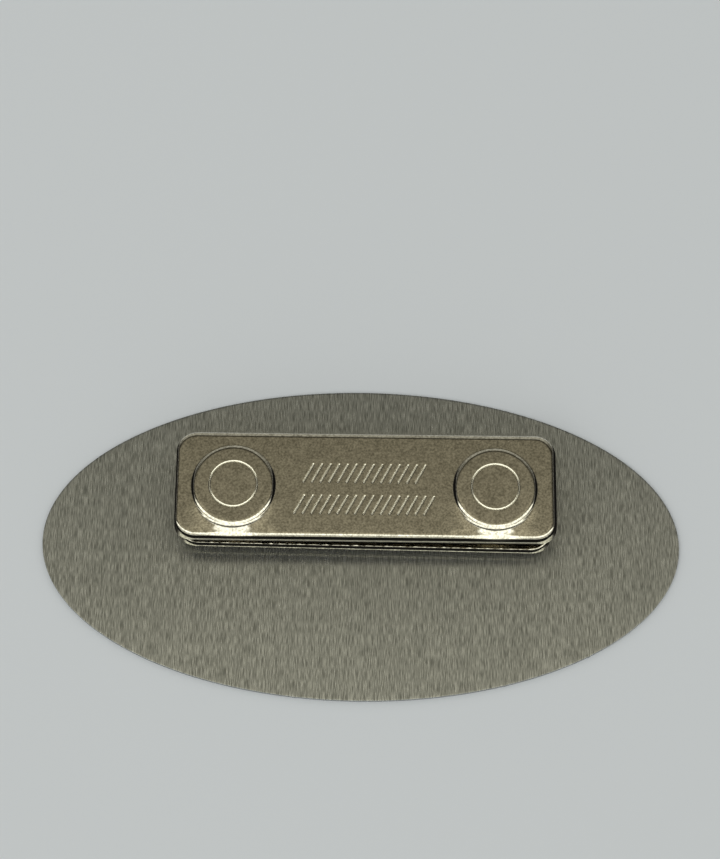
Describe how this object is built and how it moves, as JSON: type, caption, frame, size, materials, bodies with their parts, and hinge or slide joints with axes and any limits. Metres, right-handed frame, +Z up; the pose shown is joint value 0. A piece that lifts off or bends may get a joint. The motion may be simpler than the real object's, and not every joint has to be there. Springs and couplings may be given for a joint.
{
  "type": "name badge",
  "caption": "Oval brushed-metal name badge lying face down, with a two-part magnetic bar fastener on its back whose outer bar lifts off.",
  "frame": {"origin": "on the table that the badge lies on, under the middle of the oval plate", "axes": "+X along the oval's length, +Y across it away from the viewer, +Z up from the face-down front to the fastener"},
  "size_m": [0.0762, 0.0384, 0.0071],
  "materials": {
    "brushed_plate": "fine straight brushing across the oval's short way, satin, with a sheared edge",
    "nickel_plate": "warm satin nickel plating with a fine mottled grain and brighter rounded edges",
    "magnet_plating": "smooth nickel plating",
    "foam_pad": "matt closed-cell foam tape"
  },
  "bodies": {
    "badge": {"badge_plate": "brushed_plate", "adhesive_pad": "foam_pad", "inner_bar": "nickel_plate"},
    "magnet_bar": {"magnet_cover": "nickel_plate", "magnet_left": "magnet_plating", "magnet_right": "magnet_plating"}
  },
  "joints": [
    {"name": "magnet_bar_lift", "type": "slide", "parent": "badge", "child": "magnet_bar", "axis": [0, 0, 1], "range_m": [0, 0.02]}
  ]
}
